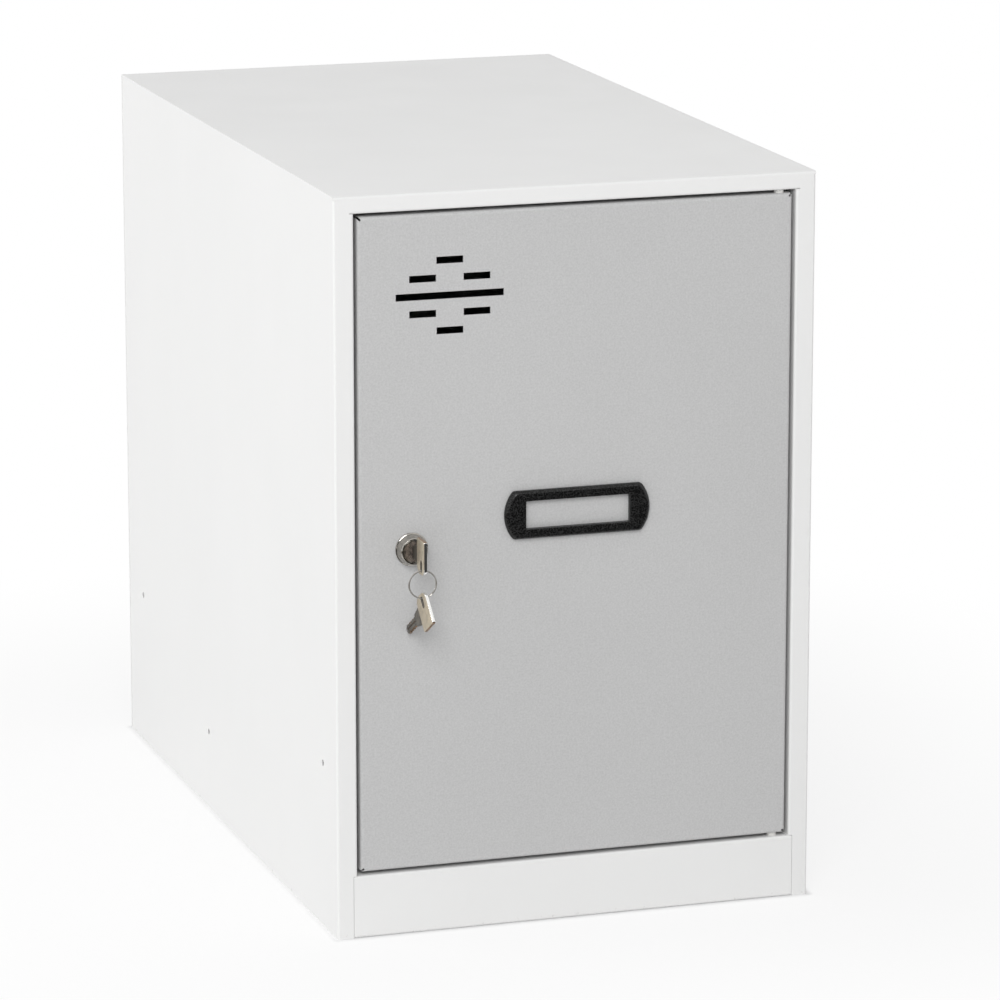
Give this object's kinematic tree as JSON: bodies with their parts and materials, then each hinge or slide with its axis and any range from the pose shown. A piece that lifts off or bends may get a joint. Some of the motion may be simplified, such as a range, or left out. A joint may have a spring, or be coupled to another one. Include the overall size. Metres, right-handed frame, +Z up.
{
  "type": "metal locker",
  "caption": "Sheet-steel locker module with a right-hung vented door, open label frame, cam lock with its key, and a spare key on a ring.",
  "frame": {"origin": "bottom centre of the overall box, on the floor; the box includes the keys that stand out in front", "axes": "+X to the right seen from the front, +Y from the door to the back, +Z up"},
  "size_m": [0.3, 0.5372, 0.45],
  "materials": {
    "carcass_white": "satin powder coat",
    "door_grey": "satin powder coat",
    "pin_zinc": "zinc plated",
    "bush_white": "moulded nylon",
    "buffer_rubber": "matte",
    "label_black": "fine grain",
    "lock_chrome": "polished plating",
    "lock_steel": "zinc plated",
    "plug_metal": "dark plated",
    "wafer_brass": "plain",
    "key_nickel": "nickel plated, worn",
    "ring_steel": "nickel plated"
  },
  "bodies": {
    "cabinet": {"left_side_panel": "carcass_white", "right_side_panel": "carcass_white", "top_panel": "carcass_white", "back_panel": "carcass_white", "floor_panel": "carcass_white", "front_plinth": "carcass_white", "top_hinge_pin": "pin_zinc", "bottom_hinge_pin": "pin_zinc", "door_buffers": "buffer_rubber"},
    "door": {"door_panel": "door_grey", "top_hinge_bush": "bush_white", "bottom_hinge_bush": "bush_white", "label_holder": "label_black", "lock_housing": "lock_chrome", "lock_nut": "lock_steel"},
    "lock_core": {"lock_plug": "plug_metal", "lock_wafers": "wafer_brass", "cam_stop_washer": "lock_steel", "lock_cam": "lock_steel", "cam_screw": "lock_steel"},
    "inserted_key": {"key_in_lock": "key_nickel"},
    "ring": {"key_ring": "ring_steel"},
    "hanging_key": {"spare_key": "key_nickel"}
  },
  "joints": [
    {"name": "door_hinge", "type": "hinge", "parent": "cabinet", "child": "door", "pos_m": [0.1283, -0.22583, 0.239], "axis": [0, 0, 1], "range_deg": [0, 110]},
    {"name": "lock_turn", "type": "hinge", "parent": "door", "child": "lock_core", "pos_m": [-0.103, -0.23143, 0.237], "axis": [0, 1, 0], "range_deg": [0, 90]},
    {"name": "key_withdraw", "type": "slide", "parent": "lock_core", "child": "inserted_key", "axis": [0, -1, 0], "range_m": [0, 0.022]},
    {"name": "ring_swing", "type": "hinge", "parent": "inserted_key", "child": "ring", "pos_m": [-0.103, -0.25308, 0.22905], "axis": [-1, 0, 0], "range_deg": [0, 80]},
    {"name": "spare_swing", "type": "hinge", "parent": "ring", "child": "hanging_key", "pos_m": [-0.103, -0.25308, 0.21245], "axis": [-1, 0, 0], "range_deg": [0, 60]}
  ]
}
